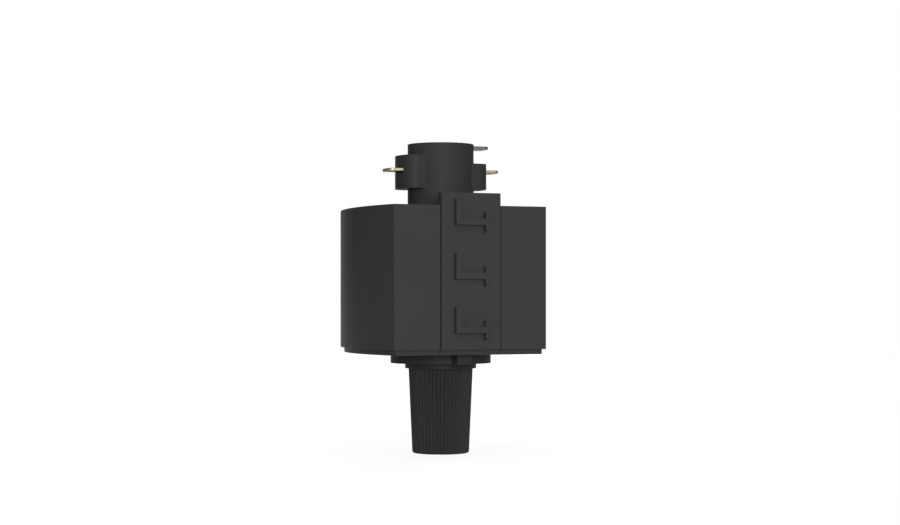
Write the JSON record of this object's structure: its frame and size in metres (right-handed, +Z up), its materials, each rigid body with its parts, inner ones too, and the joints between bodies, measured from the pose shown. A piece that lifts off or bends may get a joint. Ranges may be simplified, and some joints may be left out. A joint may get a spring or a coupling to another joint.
{
  "type": "track light adapter",
  "caption": "Black twist-lock adapter for a lighting track: moulded housing with a sprung locking slide, a keyed contact tower with brass blades, and a swivelling ribbed cord gland.",
  "frame": {"origin": "on the contact tower's axis, at the housing's top face, which seats against the underside of the track", "axes": "+Z up into the track along the tower's axis; -Y is the front with the locking slide; +X is the live side with the short lug, and the track runs along Y"},
  "size_m": [0.0414, 0.0383, 0.07],
  "materials": {
    "black_polycarbonate": "fine moulded texture, satin",
    "black_nylon": "moulded, satin",
    "contact_brass": "rolled and stamped strip",
    "tinned_brass": "tin plated, dull",
    "zinc_steel": "zinc plated",
    "grey_thermoset": "moulded, matt",
    "natural_nylon": "moulded, translucent white",
    "black_rubber": "moulded, matt"
  },
  "bodies": {
    "frame": {"housing": "black_polycarbonate", "bottom_cover": "black_polycarbonate", "cover_screws": "zinc_steel", "slide_spring": "zinc_steel", "contact_tower": "black_polycarbonate", "neutral_contact": "contact_brass", "live_contact": "contact_brass", "earth_contact": "tinned_brass", "terminal_block": "grey_thermoset", "block_screws": "zinc_steel", "clamp_plates": "zinc_steel", "terminal_screws": "contact_brass", "thrust_washer": "natural_nylon", "friction_washer": "zinc_steel"},
    "slide": {"lock_slide": "black_polycarbonate"},
    "swivel": {"swivel_disc": "black_nylon", "retaining_ring": "zinc_steel", "gland_body": "black_nylon", "gland_o_ring": "black_rubber", "gland_seal": "black_rubber", "grip_claw": "natural_nylon"},
    "nut": {"gland_nut": "black_nylon"}
  },
  "joints": [
    {"name": "slide_travel", "type": "slide", "parent": "frame", "child": "slide", "axis": [0, 0, -1], "range_m": [0, 0.00274], "stiffness_N_per_m": 250, "springref_m": -0.004, "deforming": ["slide_spring"]},
    {"name": "swivel_turn", "type": "hinge", "parent": "frame", "child": "swivel", "pos_m": [0, 0, -0.0339], "axis": [0, 0, 1], "range_deg": [-160, 160]},
    {"name": "nut_turn", "type": "hinge", "parent": "swivel", "child": "nut", "pos_m": [0, 0, -0.0396], "axis": [0, 0, -1], "range_deg": [0, 270]}
  ]
}
